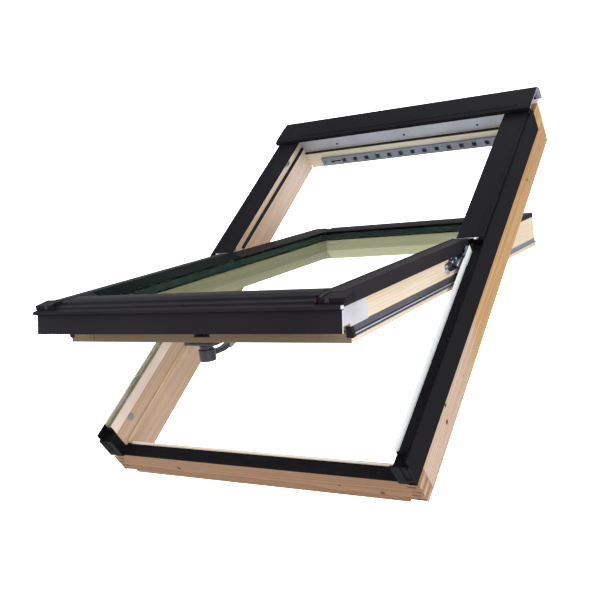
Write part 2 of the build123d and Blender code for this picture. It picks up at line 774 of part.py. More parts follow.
# Stepped profile over the bottom rail
step_points = [
    (sash_low - FASCIA_TOP_REACH, sash_level + FASCIA_TOP),
    (sash_low - LEDGE_OUT, sash_level + LEDGE_LOW),
    (sash_low - LEDGE_OUT, sash_level + LEDGE_HIGH),
    (sash_low - STEP_ONE_IN, sash_level + STEP_ONE),
    (sash_low - STEP_TWO_IN, sash_level + STEP_TWO),
    (sash_low - STEP_THREE_IN, sash_level + STEP_THREE),
    (sash_low - STEP_FOUR_IN, sash_level + STEP_FOUR),
    (step_end, cover_top),
]
ledge_half = half - NOSE_HALF_INSET
profile = across(folded(step_points, FASCIA_THICK), -ledge_half, ledge_half)
ledge_end = sash_low - LEDGE_END_IN
for low, high in ((-ledge_half, -cover_half), (cover_half, ledge_half)):
    profile -= block(low, high, ledge_end, sash_low, sash_level, cover_top)
leg_place = sash_low - PROFILE_LEG_PLACE
profile += block(
    -cover_half,
    cover_half,
    leg_place,
    leg_place + PROFILE_LEG,
    bottom_top,
    sash_level + STEP_FOUR,
)
ridge_points = [
    (step_end, cover_top),
    (sash_low + RIDGE_IN, cover_top),
    (sash_low + SLOPE_END, glass_top + SHEET),
    (sash_low + SLOPE_END + SLOPE_FOOT, glass_top + SHEET),
]
slope_half = slope_foot - SASH_COVER_FOOT
ridge_half = slope_top - RIDGE_SIDE_GAP
ridge = across(folded(ridge_points, SHEET), -ridge_half, ridge_half)
ridge_break = sash_low + RIDGE_IN - MITRE_GAP
ridge_foot = sash_low + SLOPE_END - MITRE_GAP
ridge_end = sash_low + SLOPE_END + SLOPE_FOOT
mitre_outline = [
    (slope_half, ridge_end),
    (slope_half, ridge_foot),
    (slope_foot, ridge_foot),
    (slope_top, ridge_break),
    (slope_top, ridge_end),
]
mitre = Pos(0, 0, glass_top) * extrude(make_face(Polyline(*mitre_outline, close=True)), cover_top - glass_top)
ridge -= mitre
ridge -= other_side(mitre)
profile += ridge
end_front = sash_low - COVER_END_OUT
end_back = step_end + COVER_START_GAP * HALF_SHARE
end_low = sash_level + STEP_ONE
end_in = slope_top + COVER_END_IN
seat_in = end_in - COVER_END_GAP
for low, high in ((-ledge_half, -seat_in), (seat_in, ledge_half)):
    profile -= block(low, high, end_front - COVER_END_GAP, end_back, end_low, cover_top)
keep_sash("bottom_profile", profile)

# Moulded end pieces that close the lower ends of the covers
end_outline = [
    (end_front, end_low),
    (end_back, end_low),
    (end_back, cover_top),
    (end_front, cover_top - COVER_END_DROP),
]
end_piece = across(end_outline, end_in, ledge_half + COVER_END_SIDE)
end_corner = end_piece.edges().filter_by(Axis.Z).sort_by(Axis.Y)[:2].sort_by(Axis.X)[-1]
end_piece = fillet(end_corner, COVER_END_ROUND)
keep_sash("cover_end_right", end_piece)
keep_sash("cover_end_left", other_side(end_piece))

# Fascia below the stepped profile
fascia_half = half - FASCIA_HALF_INSET
lip_level = nose_level - FASCIA_THICK
fascia_points = [
    (nose_low + FASCIA_LAP, lip_level),
    (sash_low - FASCIA_REACH, lip_level),
    (sash_low - FASCIA_TOP_REACH, sash_level + FASCIA_TOP),
]
fascia = across(folded(fascia_points, FASCIA_THICK), -fascia_half, fascia_half)
for low, high in ((-fascia_half, -sash_half), (sash_half, fascia_half)):
    fascia -= block(low, high, ledge_end, sash_low, sash_level, bottom_top)
keep_sash("sash_fascia", fascia)

# Plates over the lower corners and the fin at the top
plate = block(
    sash_half,
    sash_half + PLATE_THICK,
    sash_low - PLATE_LOW,
    sash_low + PLATE_HIGH,
    nose_level,
    sash_level + PLATE_TOP,
)
plate_end = sash_low + PLATE_HIGH
corner_out = sash_half + PLATE_THICK
plate += block(sash_half, corner_out, sash_low, plate_end, sash_level + RAIL_HIGH, nose_level)
crest_start = leg_place + PROFILE_LEG + PLATE_GAP
crest_low = sash_level + PLATE_TOP
plate += block(sash_half, corner_out, crest_start, plate_end, crest_low, sash_level + PLATE_CREST)
keep_sash("corner_plate_right", plate)
keep_sash("corner_plate_left", other_side(plate))
fin_low = sash_level - FIN_THICK
fin_high = sash_level + FIN_LEVEL
fin = block(-sash_half, sash_half, sash_high, sash_high + FIN_THICK, sash_level, fin_high)
fin += block(-sash_half, sash_half, sash_high, sash_high + FIN_REACH, fin_high, fin_high + FIN_THICK)
keep_sash("top_fin", fin)

# Runners that ride in the hinge guides
def sector(outer, inner, u0, u1):
    reach = GUIDE_RADIUS + GUIDE_RADIUS
    wedge = [(0, 0)]
    middle = (RUNNER_START_ANGLE + RUNNER_END_ANGLE) * HALF_SHARE
    for turn in (RUNNER_START_ANGLE, middle, RUNNER_END_ANGLE):
        angle = math.radians(turn)
        wedge.append((reach * math.cos(angle), -reach * math.sin(angle)))
    cutter = Pos(0, pivot_place, pivot_level) * across(wedge, u0, u1)
    return ring(outer, inner, u0, u1) & cutter


runner_face = sash_half + RUNNER_THICK
runner = sector(TRACK_RADIUS + RUNNER_HALF, TRACK_RADIUS - RUNNER_HALF, sash_half, runner_face)
tongue_half = TRACK_HALF - TONGUE_GAP
tongue_end = jamb_face + TRACK_DEPTH - TONGUE_GAP
runner += sector(TRACK_RADIUS + tongue_half, TRACK_RADIUS - tongue_half, runner_face, tongue_end)
foot_start = pivot_place + RUNNER_FOOT_START
runner += block(
    sash_half,
    runner_face,
    foot_start,
    foot_start + RUNNER_FOOT_LENGTH,
    sash_level + RUNNER_FOOT_LOW,
    sash_level + RUNNER_FOOT_HIGH,
)
keep_sash("hinge_runner_right", runner)
keep_sash("hinge_runner_left", other_side(runner))

# Handle on the bottom rail
base_half = HANDLE_BASE_WIDTH * HALF_SHARE
base_side = HANDLE_BASE_LENGTH * HALF_SHARE
base_low = sash_level - HANDLE_BASE_HEIGHT
base = block(-base_half, base_half, handle_place - base_side, handle_place + base_side, base_low, sash_level)
base = chamfer(base.faces().sort_by(Axis.Z)[0].edges(), HANDLE_BASE_CHAMFER)
base -= rod(SPINDLE_RADIUS + SPINDLE_GAP, (0, handle_place, base_low), (0, 0, 1), HANDLE_BASE_HEIGHT)
keep_sash("handle_base", base)
hub_top = base_low - HUB_GAP
hub_low = hub_top - HUB_HEIGHT
lever_side = LEVER_WIDTH * HALF_SHARE
lever_top = hub_low + LEVER_THICK
lever_outline = [
    (handle_place, hub_low),
    (handle_place + LEVER_BEND, hub_low),
    (handle_place + LEVER_END, hub_low + LEVER_RISE),
    (handle_place + LEVER_TIP, hub_low + LEVER_TIP_RISE),
    (handle_place + LEVER_END, hub_low + LEVER_TIP_RISE),
    (handle_place + LEVER_BEND, lever_top),
    (handle_place, lever_top),
]
lever = across(lever_outline, -lever_side, lever_side)
lever += rod(HUB_RADIUS, (0, handle_place, hub_low), (0, 0, 1), HUB_HEIGHT)
keep_sash("handle_lever", lever)
spindle = rod(SPINDLE_RADIUS, (0, handle_place, hub_top), (0, 0, 1), cam_high - hub_top)
spindle += rod(CAM_HALF, (0, handle_place, cam_low), (0, 0, 1), cam_high - cam_low)
spindle += block(0, CAM_REACH, handle_place - CAM_HALF, handle_place + CAM_HALF, cam_low, cam_high)
keep_sash("handle_spindle", spindle)
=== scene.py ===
import json

import bmesh
import bpy
from math import cos, pi, radians, sin
from mathutils import Matrix, Vector

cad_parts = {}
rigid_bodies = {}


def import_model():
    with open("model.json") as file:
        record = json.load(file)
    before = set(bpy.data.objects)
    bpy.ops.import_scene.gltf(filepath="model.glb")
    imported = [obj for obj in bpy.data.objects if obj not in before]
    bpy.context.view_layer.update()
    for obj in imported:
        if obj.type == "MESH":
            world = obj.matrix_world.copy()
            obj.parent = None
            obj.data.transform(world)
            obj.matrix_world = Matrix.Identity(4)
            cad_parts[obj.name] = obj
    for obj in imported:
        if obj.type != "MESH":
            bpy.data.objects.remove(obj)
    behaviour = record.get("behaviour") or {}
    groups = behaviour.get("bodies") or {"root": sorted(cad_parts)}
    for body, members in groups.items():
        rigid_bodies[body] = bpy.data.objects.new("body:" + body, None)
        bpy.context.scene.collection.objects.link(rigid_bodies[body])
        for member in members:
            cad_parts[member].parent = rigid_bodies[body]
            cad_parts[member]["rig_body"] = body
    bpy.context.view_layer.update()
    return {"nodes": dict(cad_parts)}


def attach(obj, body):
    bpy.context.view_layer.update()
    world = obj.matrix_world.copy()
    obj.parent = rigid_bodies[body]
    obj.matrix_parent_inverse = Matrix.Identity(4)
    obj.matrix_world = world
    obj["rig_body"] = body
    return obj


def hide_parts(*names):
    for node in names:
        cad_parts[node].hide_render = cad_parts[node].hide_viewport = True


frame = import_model()
nodes = frame["nodes"]

# Frame boards: the sill, the head and two jambs, of laminated pine that is planed, rebated and lacquered.
# They are glued at the corners, and their arrises are eased with sandpaper. Places on the window are in
# millimetres across it, up the slope and out of the roof.
MM = 0.001
PITCH = 45.0
SILL_BACK = 17.5
frame_lie = Matrix.Rotation(radians(PITCH), 4, "X") @ Matrix.Translation((0, -SILL_BACK * MM, 0))
# points nearer than the weld are joined, and an edge is left flat or counted as sharp by its degrees
WELD = 0.01
FLAT = 1.0
SHARP = 24.0
ARRIS = (1.6, 2)
QUIET = 0.3
STREAKED = 0.75
CLOUDED = 0.6
KNOT_CORE = 0.35
KNOT_BROWN = (0.035, 0.018, 0.010, 1)
WHITE = (1, 1, 1)


def material(name):
    """A new material, its node tree and its surface shader."""
    mat = bpy.data.materials.new(name)
    mat.use_nodes = True
    return mat, mat.node_tree, mat.node_tree.nodes["Principled BSDF"]


def feed(tree, made, inputs):
    """Gives a shader node its inputs, each a plain value or another node's output."""
    for socket, given in inputs.items():
        if isinstance(given, bpy.types.NodeSocket):
            tree.links.new(given, made.inputs[socket])
        else:
            made.inputs[socket].default_value = given


def add(tree, kind, inputs, **settings):
    """A new shader node with its settings and inputs."""
    made = tree.nodes.new("ShaderNode" + kind)
    for setting, value in settings.items():
        setattr(made, setting, value)
    feed(tree, made, inputs)
    return made


def laid(tree, lean):
    """Places on a piece, turned back by its lean so that they lie along and across it."""
    place = add(tree, "TexCoord", {}).outputs["Object"]
    return add(tree, "Mapping", {"Vector": place, "Rotation": (radians(-lean), 0, 0)}).outputs["Vector"]


def stretched(tree, spot, along, run, across):
    """Places scaled by one number along the piece and by another across it."""
    scale = (run, across, across) if along == "X" else (across, run, across)
    return add(tree, "Mapping", {"Vector": spot, "Scale": scale}).outputs["Vector"]


def noise(tree, spot, scale, detail):
    """A cloudy pattern, with about as many patches in each unit of length as its scale."""
    return add(tree, "TexNoise", {"Vector": spot, "Scale": scale, "Detail": detail})


def ramp(tree, value, low, dark, high, pale):
    """A run from a dark to a pale colour between two values."""
    made = add(tree, "ValToRGB", {"Fac": value})
    for stop, place, colour in zip(made.color_ramp.elements, (low, high), (dark, pale)):
        stop.position = place
        stop.color = (*colour, 1)
    return made.outputs["Color"]


def tinted(tree, colour, tint, amount):
    """A colour multiplied by a tint, in part or in full."""
    sockets = {0: amount, 6: colour, 7: tint}
    return add(tree, "Mix", sockets, data_type="RGBA", blend_type="MULTIPLY").outputs[2]


def bumped(tree, shader, height, strength, depth):
    """A fine relief on the surface."""
    lift = add(tree, "Bump", {"Height": height, "Strength": strength, "Distance": depth})
    feed(tree, shader, {"Normal": lift.outputs["Normal"]})


def glossed(tree, shader, value, least, most):
    """A roughness that varies between two limits."""
    gloss = add(tree, "MapRange", {"Value": value, "To Min": least, "To Max": most})
    feed(tree, shader, {"Roughness": gloss.outputs["Result"]})


def pine(name, lean, along, early, late, shift, end_tone_and_light=None, knots=(), streaky=QUIET):
    """Lacquered pine: growth rings round a far heart, brown streaks, pale clouds and fine fibres.
    Some boards have another tone at the upper end, one board a painted light there, and some single knots."""
    mat, tree, shader = material(name)
    spot = laid(tree, lean)
    board = add(tree, "VectorMath", {0: spot, 1: shift}, operation="ADD").outputs["Vector"]
    # a slow wander of the grain, long in the board's own direction
    wander = noise(tree, stretched(tree, board, along, run=1.6, across=14), scale=1.0, detail=3.0)
    pull = {0: wander.outputs["Color"], 1: (0.014, 0.014, 0.014), 2: board}
    pulled = add(tree, "VectorMath", pull, operation="MULTIPLY_ADD").outputs["Vector"]
    wave = {"Vector": pulled, "Scale": 58.0, "Distortion": 1.1, "Detail": 2.0, "Detail Scale": 1.5}
    rings = add(tree, "TexWave", wave, wave_type="RINGS", rings_direction=along, wave_profile="SAW")
    limits = {"Value": rings.outputs["Fac"], "From Min": 0.25, "From Max": 0.97, "To Max": 0.55}
    band = add(tree, "MapRange", limits).outputs["Result"]
    colour = add(tree, "Mix", {0: band, 6: (*early, 1), 7: (*late, 1)}, data_type="RGBA").outputs[2]
    if end_tone_and_light:
        # the border of the end's tone, and of its painted light, follows the wander of the grain
        tint, low, high = end_tone_and_light
        up = add(tree, "SeparateXYZ", {"Vector": spot}).outputs["Y"]
        border = add(tree, "Math", {0: wander.outputs["Fac"], 1: 0.45, 2: up}, operation="MULTIPLY_ADD")
        reach = add(tree, "MapRange", {"Value": border.outputs["Value"], "From Min": low, "From Max": high})
        colour = tinted(tree, colour, (*tint, 1), reach.outputs["Result"])
    # long brown streaks that run with the grain
    streak = noise(tree, stretched(tree, pulled, along, run=1.3, across=75), scale=1.0, detail=2.0)
    stain = ramp(tree, streak.outputs["Fac"], 0.40, (0.80, 0.66, 0.50), 0.60, WHITE)
    colour = tinted(tree, colour, stain, streaky)
    # pale and dark clouds along the board, then fibres about two millimetres apart
    fibre = noise(tree, stretched(tree, board, along, run=9, across=520), scale=1.0, detail=4.0)
    feed(tree, fibre, {"Roughness": 0.65})
    cloud = ramp(tree, wander.outputs["Fac"], 0.30, (0.86, 0.80, 0.74), 0.70, WHITE)
    colour = tinted(tree, colour, cloud, CLOUDED)
    thread = ramp(tree, fibre.outputs["Fac"], 0.35, (0.84, 0.78, 0.72), 0.62, WHITE)
    colour = tinted(tree, colour, thread, CLOUDED)
    for u, v, w, radius in knots:
        heart = (u * MM, (v - SILL_BACK) * MM, w * MM)
        far = add(tree, "VectorMath", {0: spot, 1: heart}, operation="DISTANCE").outputs["Value"]
        limits = {"Value": far, "From Min": radius * MM, "From Max": radius * KNOT_CORE * MM}
        near = add(tree, "MapRange", limits).outputs["Result"]
        colour = add(tree, "Mix", {0: near, 6: colour, 7: KNOT_BROWN}, data_type="RGBA").outputs[2]
    # satin lacquer, a little rougher over the fibres
    feed(tree, shader, {"Base Color": colour, "Specular IOR Level": 0.25})
    glossed(tree, shader, fibre.outputs["Fac"], least=0.42, most=0.60)
    bumped(tree, shader, fibre.outputs["Fac"], strength=0.10, depth=0.0004)
    return mat


def finished(name, made, mat, edge):
    """A piece from its mesh. Its edge finish is a radius in millimetres and a count of facets."""
    mesh = bpy.data.meshes.new(name)
    made.to_mesh(mesh)
    made.free()
    mesh.materials.append(mat)
    mesh.polygons.foreach_set("use_smooth", [True] * len(mesh.polygons))
    piece = bpy.data.objects.new(name, mesh)
    bpy.context.scene.collection.objects.link(piece)
    if edge:
        ease = piece.modifiers.new("ease", "BEVEL")
        ease.width = edge[0] * MM
        ease.segments = edge[1]
        ease.limit_method = "ANGLE"
        ease.angle_limit = radians(SHARP)
        ease.use_clamp_overlap = True
        flat = piece.modifiers.new("flat", "WEIGHTED_NORMAL")
        flat.keep_sharp = True
    return piece


def eased(name, edge, mat):
    """The board, sheet or casting of one solid, with its edges eased by a small radius."""
    made = bmesh.new()
    made.from_mesh(nodes[name].data)
    bmesh.ops.remove_doubles(made, verts=made.verts, dist=WELD * MM)
    bmesh.ops.dissolve_limit(made, angle_limit=radians(FLAT), verts=made.verts, edges=made.edges)
    piece = finished(name + "_eased", made, mat, edge)
    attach(piece, nodes[name]["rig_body"])
    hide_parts(name)


SILL_KNOTS = ((-206.2, 0.0, 35.2, 6.5), (300.0, 0.0, 22.0, 7.0))
RIGHT_KNOTS = ((390.0, 169.9, 34.8, 7.5), (390.0, 190.0, 63.0, 6.0), (390.0, 937.5, 38.0, 6.0))
# painted light: the left jamb's upper end is tinted far paler and bluer where light falls on it
PAINTED_LIGHT_END = ((1.44, 1.66, 1.90), 0.92, 1.26)
GOLDEN_END = ((1.0, 0.86, 0.50), 0.59, 0.64)
for board, along, early, late, shift, end_tone_and_light, knots, streaky in (
    # partly painted shade: the sill's dark tone is partly its wood and partly shade on its down-facing front
    ("frame_sill", "X", (0.290, 0.160, 0.078), (0.15, 0.064, 0.025), (0.13, 0.052, -0.02),
     None, SILL_KNOTS, QUIET),
    # painted light: the head's pine is made near-white cream
    ("frame_head", "X", (1.00, 0.925, 0.845), (0.97, 0.870, 0.775), (0.31, -1.12, 0.07),
     None, (), QUIET),
    ("frame_jamb_left", "Y", (0.56, 0.410, 0.325), (0.45, 0.305, 0.225), (0.42, 0.23, -0.055),
     PAINTED_LIGHT_END, (), QUIET),
    ("frame_jamb_right", "Y", (0.50, 0.385, 0.315), (0.28, 0.175, 0.115), (-0.352, 0.11, -0.085),
     GOLDEN_END, RIGHT_KNOTS, STREAKED),
):
    board_pine = pine(board + "_pine", PITCH, along, early, late, shift, end_tone_and_light, knots, streaky)
    eased(board, ARRIS, board_pine)

# Finger joints: the sill is let into the jambs with glued fingers that are cut in both boards.
# Their ends show as short dark bars on the front of the sill and as pale teeth on the jambs' sides.
SIDES = (("left", -1), ("right", 1))
lies = {"frame": frame_lie}


def length(name, way, outline, run, mat, body, edge=None):
    """A drawn or folded length: an outline, carried along one direction of the body that it rides on."""
    made = bmesh.new()
    loops = []
    for far in run:
        ring = []
        for a, b in outline:
            spot = {"u": (far, a, b), "v": (a, far, b), "w": (a, b, far)}[way]
            ring.append(made.verts.new(lies[body] @ (Vector(spot) * MM)))
        loops.append(ring)
    count = len(outline)
    for i in range(count):
        j = (i + 1) % count
        made.faces.new((loops[0][i], loops[0][j], loops[1][j], loops[1][i]))
    made.faces.new(loops[0])
    made.faces.new(loops[1])
    bmesh.ops.recalc_face_normals(made, faces=made.faces)
    piece = finished(name, made, mat, edge)
    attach(piece, body)


def mirrored(outline, sign):
    """The outline for one side, from the outline for the right."""
    return [(u * sign, other) for u, other in outline]


def pair(name, way, outline, run, mat, body, edge=None):
    """A left and a right length, mirrored about the middle of the window."""
    for side, sign in SIDES:
        if way == "u":
            length(name % side, way, outline, [u * sign for u in run], mat, body, edge)
        else:
            length(name % side, way, mirrored(outline, sign), run, mat, body, edge)


def plain_box(a0, a1, b0, b1):
    """A rectangle as an outline."""
    return [(a0, b0), (a1, b0), (a1, b1), (a0, b1)]


FINGER_LONG = 19
FINGER_DEPTH = (-0.12, 0.3)
FINGERS = ((9, 370, 4.0), (22, 364, 4.5), (35, 369, 4.0), (48, 362, 5.0), (60, 368, 4.0))
TOOTH_FACE = (389.9, 390.15)
TOOTH_LEVELS = (1.5, 22.5, 44.5)
TOOTH_WIDE = 11.0
TOOTH_RUN = (0.8, 34.8)
comb_pine = pine("comb_pine", PITCH, "Y", (0.43, 0.320, 0.255), (0.34, 0.235, 0.175), (-0.352, 0.11, -0.085))
end_grain = pine("finger_end_grain", PITCH, "X", (0.11, 0.048, 0.020), (0.05, 0.020, 0.008), (0.4, 0.1, 0.0))
for k, (level, near, wide) in enumerate(FINGERS):
    bar = plain_box(near, near + FINGER_LONG, level, level + wide)
    pair(f"finger_%s_{k}", "v", bar, FINGER_DEPTH, end_grain, "frame")
for k, level in enumerate(TOOTH_LEVELS):
    tooth = plain_box(*TOOTH_FACE, level, level + TOOTH_WIDE)
    pair(f"comb_%s_{k}", "v", tooth, TOOTH_RUN, comb_pine, "frame")

# Rebate edges and sill lip: the planed shelf of each jamb's rebate, and a planed pine lip that is glued
# along the inner edge of the sill. Both are painted pale cream: a painted light where light from above falls
# on these up-facing edges.
# painted light: the shelf's pine is pale cream because it is lit from above
shelf_painted_light = pine("rebate_edge_painted_light", PITCH, "Y", (0.86, 0.68, 0.47), (0.74, 0.55, 0.36), (0.2, 0.4, 0.1))
shelf = [(353.4, 71.9), (358.95, 71.9), (358.95, 76.5)]
SHELF_RUN = (36.0, 545.0)
pair("rebate_edge_%s", "v", shelf, SHELF_RUN, shelf_painted_light, "frame")
lip = plain_box(30.8, 36.4, 67.8, 72.7)
LIP_RUN = (-343.0, 343.0)
SOFT = (0.8, 3)
# painted light: the lip takes the head's near-white cream because it faces up into the light
lip_painted_light = pine("sill_lip_painted_light", PITCH, "X", (1.00, 0.935, 0.865), (0.97, 0.885, 0.800), (0.31, -1.12, 0.07))
length("sill_lip", "u", lip, LIP_RUN, lip_painted_light, "frame", SOFT)

# Side strips, gutters and sill cladding: sheet about two millimetres thick, folded on a brake and coated
# in satin graphite. A pale grey-green goes on the strips' backs, the left hem, the left gutter's floor and
# the left cap's rim: partly the sheet's primer and partly painted light, as it is far paler than primer and
# shows on the left only.
FOLD = (0.5, 2)


def graphite(name, lean, shade, shine):
    """Satin coated sheet: a near-black violet grey with a fine pebbled coat and faint clouds; shade scales
    it, painting light and shade on some copies.
    """
    mat, tree, shader = material(name)
    spot = laid(tree, lean)
    coat = noise(tree, spot, scale=1900.0, detail=2.0).outputs["Fac"]
    cloud = noise(tree, spot, scale=5.0, detail=5.0).outputs["Fac"]
    dark = (0.0105 * shade, 0.0096 * shade, 0.0128 * shade)
    pale = (0.0150 * shade, 0.0138 * shade, 0.0178 * shade)
    hue = ramp(tree, cloud, 0.35, dark, 0.70, pale)
    feed(tree, shader, {"Base Color": hue, "Specular IOR Level": shine})
    glossed(tree, shader, cloud, least=0.46, most=0.62)
    bumped(tree, shader, coat, strength=0.08, depth=0.0002)
    return mat


def scaled(colour, factor):
    """A colour made darker or paler."""
    return [part * factor for part in colour]


def moulded(name, colour, rough, grain=900.0, shine=0.3):
    """Moulded plastic or paint with a fine spark grain and slightly uneven gloss."""
    mat, tree, shader = material(name)
    spot = add(tree, "TexCoord", {}).outputs["Object"]
    spark = noise(tree, spot, grain, detail=3.0).outputs["Fac"]
    cloud = noise(tree, spot, scale=22.0, detail=3.0).outputs["Fac"]
    hue = ramp(tree, cloud, 0.3, scaled(colour, 0.86), 0.7, scaled(colour, 1.1))
    feed(tree, shader, {"Base Color": hue, "Specular IOR Level": shine})
    glossed(tree, shader, spark, least=rough - 0.07, most=rough + 0.07)
    bumped(tree, shader, spark, strength=0.12, depth=0.0002)
    return mat


sheet_frame = graphite("graphite_sheet_frame", PITCH, shade=0.80, shine=0.03)
for sheet in ("gutter_sheet_left", "gutter_sheet_right", "sill_cladding"):
    eased(sheet, FOLD, sheet_frame)
# painted shade: the side strips take a darker copy of the same coating because strong light falls on them
strip_sheet_shaded = graphite("graphite_strip_painted_shade", PITCH, shade=0.55, shine=0.02)
for sheet in ("side_strip_left", "side_strip_right"):
    eased(sheet, FOLD, strip_sheet_shaded)
# partly primer and partly painted light: the primer colour is made far paler
primer_and_painted_light = moulded("sheet_primer_and_painted_light", (0.78, 0.77, 0.64), rough=0.55)
STRIP_RUN = (35.0, 608.0)
back = plain_box(388.15, 388.48, 119.7, 132.3)
pair("strip_back_%s", "v", back, STRIP_RUN, primer_and_painted_light, "frame")
hem = [(-389.6, 133.9), (-386.0, 133.9), (-385.7, 132.6), (-386.1, 132.4),
       (-385.5, 132.4), (-385.2, 134.4), (-389.4, 134.4)]
length("strip_hem_left", "v", hem, STRIP_RUN, primer_and_painted_light, "frame")
GUTTER_RUN = (36.0, 608.0)
floor_left = plain_box(-388.2, -375.0, 119.4, 119.8)
length("gutter_floor_left", "v", floor_left, GUTTER_RUN, primer_and_painted_light, "frame")

# Sill end caps: black moulded shoes that are pushed over the ends of the sill cladding and the side strips.
# Each has raised walls round a hollow in front, a tab behind, and a rim where the strip's edge is tucked in.
CAP_ROUND = (0.9, 3)
CRISP = (0.3, 2)
ROLLED = (0.5, 3)
SHEARED = (0.4, 2)
black_plastic = moulded("black_moulding", (0.0058, 0.0056, 0.0072), rough=0.55, shine=0.05)
for cap in ("sill_cap_left", "sill_cap_right"):
    eased(cap, CAP_ROUND, black_plastic)
shelf = plain_box(383.6, 388.45, -3.5, 36.0)
CAP_SHELF_LEVEL = (117.4, 119.6)
pair("cap_shelf_%s", "w", shelf, CAP_SHELF_LEVEL, black_plastic, "frame")
tab = [(359.3, 118.4), (359.3, 126.0), (362.0, 129.6), (366.0, 130.6),
       (378.0, 130.6), (382.0, 129.6), (384.2, 126.0), (384.2, 118.4)]
CAP_TAB_RUN = (22.6, 25.6)
pair("cap_tab_%s", "v", tab, CAP_TAB_RUN, black_plastic, "frame", SOFT)
heel = plain_box(349.0, 353.4, -1.6, 31.0)
HEEL_LEVEL = (66.2, 72.6)
pair("cap_heel_%s", "w", heel, HEEL_LEVEL, black_plastic, "frame", CRISP)
CAP_FRONT = (-5.4, -3.9)
rim = [(391, 66.5), (391, 120), (388.4, 120), (388.4, 69.4), (373, 69.4), (373, 66.5)]
# painted light: the left rim takes the pale primer colour, while the right rim stays black
for side, sign, rim_mat in (("left", -1, primer_and_painted_light), ("right", 1, black_plastic)):
    side_rim = mirrored(rim, sign)
    length("cap_rim_" + side, "v", side_rim, CAP_FRONT, rim_mat, "frame", ROLLED)
outer_wall = plain_box(384.5, 386.5, 80, 119)
inner_wall = plain_box(371, 373, 80, 119)
low_wall = plain_box(373, 384.5, 80, 82)
for k, wall in enumerate((outer_wall, inner_wall, low_wall)):
    pair(f"cap_wall_%s_{k}", "v", wall, CAP_FRONT, black_plastic, "frame", SHEARED)

# Bright strips: the strip under the head and the upstands along the lower jambs, of bare drawn aluminium.
# They have fine lengthwise drawing lines, and are held by screws or pressed into the rebate.


def drawn_metal(name, lean, colour, rough, along="X", metal=1.0):
    """Bare metal with fine drawing lines along the piece and soft smudges."""
    mat, tree, shader = material(name)
    spot = laid(tree, lean)
    drawn = stretched(tree, spot, along, run=6, across=1500)
    lines = noise(tree, drawn, scale=1.0, detail=3.0).outputs["Fac"]
    cloud = noise(tree, spot, scale=14.0, detail=4.0).outputs["Fac"]
    hue = ramp(tree, cloud, 0.3, scaled(colour, 0.86), 0.72, colour)
    feed(tree, shader, {"Base Color": hue, "Metallic": metal})
    glossed(tree, shader, lines, least=rough - 0.08, most=rough + 0.10)
    bumped(tree, shader, lines, strength=0.10, depth=0.0002)
    return mat


strip_across = drawn_metal("bright_strip_across", PITCH, (0.66, 0.65, 0.82), rough=0.45, metal=0.1)
eased("head_flashing", SHEARED, strip_across)
# painted reflection: one metal in two colours, warm on the left where it mirrors the wood, near-white blue
# on the right where it mirrors the bright surround
warm_painted_reflection = drawn_metal("upstand_left_painted_reflection", PITCH, (0.74, 0.60, 0.53), rough=0.40, along="Y", metal=0.1)
white_painted_reflection = drawn_metal("upstand_right_painted_reflection", PITCH, (0.935, 0.970, 1.0), rough=0.34, along="Y", metal=0.05)
foot = plain_box(357.6, 359.0, 114.2, 139.9)
FOOT_RUN = (25.0, 34.5)
for side, sign, metal in (("left", -1, warm_painted_reflection), ("right", 1, white_painted_reflection)):
    eased("jamb_channel_" + side, SHEARED, metal)
    side_foot = mirrored(foot, sign)
    length("upstand_foot_" + side, "v", side_foot, FOOT_RUN, metal, "frame", CRISP)
# the tops take the near-white painted reflection colour
top = plain_box(359.05, 360.3, 119.4, 139.5)
TOP_RUN = (538.0, 583.0)
pair("upstand_top_%s", "v", top, TOP_RUN, white_painted_reflection, "frame", CRISP)

# Upper covers: flat graphite sheets over the upper jambs, with a rolled bead near the outer edge.
# The lower end has a bare cut edge, a moulded closer under it and a bent tab. A black strip in the gap at
# the side is painted shade.
BENT = (0.6, 3)
for cover in ("upper_cover_left", "upper_cover_right"):
    eased(cover, FOLD, sheet_frame)
bead = [(370.5, 135.9), (371.6, 137.3), (376.4, 137.3), (377.5, 135.9)]
BEAD_RUN = (613.0, 1093.0)
pair("cover_bead_%s", "v", bead, BEAD_RUN, sheet_frame, "frame", ROLLED)
# painted shade: a black strip stands for the dark gap between the cover and the side strip
cover_gap_shade = moulded("cover_gap_shade", (0.0055, 0.0055, 0.0065), rough=0.6, grain=1400.0, shine=0.03)
gap = plain_box(384.4, 386.6, 132.6, 134.4)
GAP_SHADE_RUN = (612.3, 1094.0)
pair("cover_seal_%s", "v", gap, GAP_SHADE_RUN, cover_gap_shade, "frame")
# the cut edge takes the near-white painted reflection colour of the upstands
cut = plain_box(611.85, 612.28, 134.7, 135.95)
CUT_RUN = (320.0, 372.0)
pair("cover_cut_edge_%s", "u", cut, CUT_RUN, white_painted_reflection, "frame")
closer = plain_box(606.2, 612.2, 119.5, 134.4)
CLOSER_RUN = (360.4, 388.4)
pair("cover_closer_%s", "u", closer, CLOSER_RUN, black_plastic, "frame", CRISP)
# the tab takes the near-white painted reflection colour too
tab = [(362, 131.0), (362, 136.4), (363.0, 137.0), (367.0, 137.0), (368, 136.4), (368, 131.0)]
COVER_TAB_RUN = (607.5, 611.8)
pair("cover_tab_%s", "v", tab, COVER_TAB_RUN, white_painted_reflection, "frame", BENT)

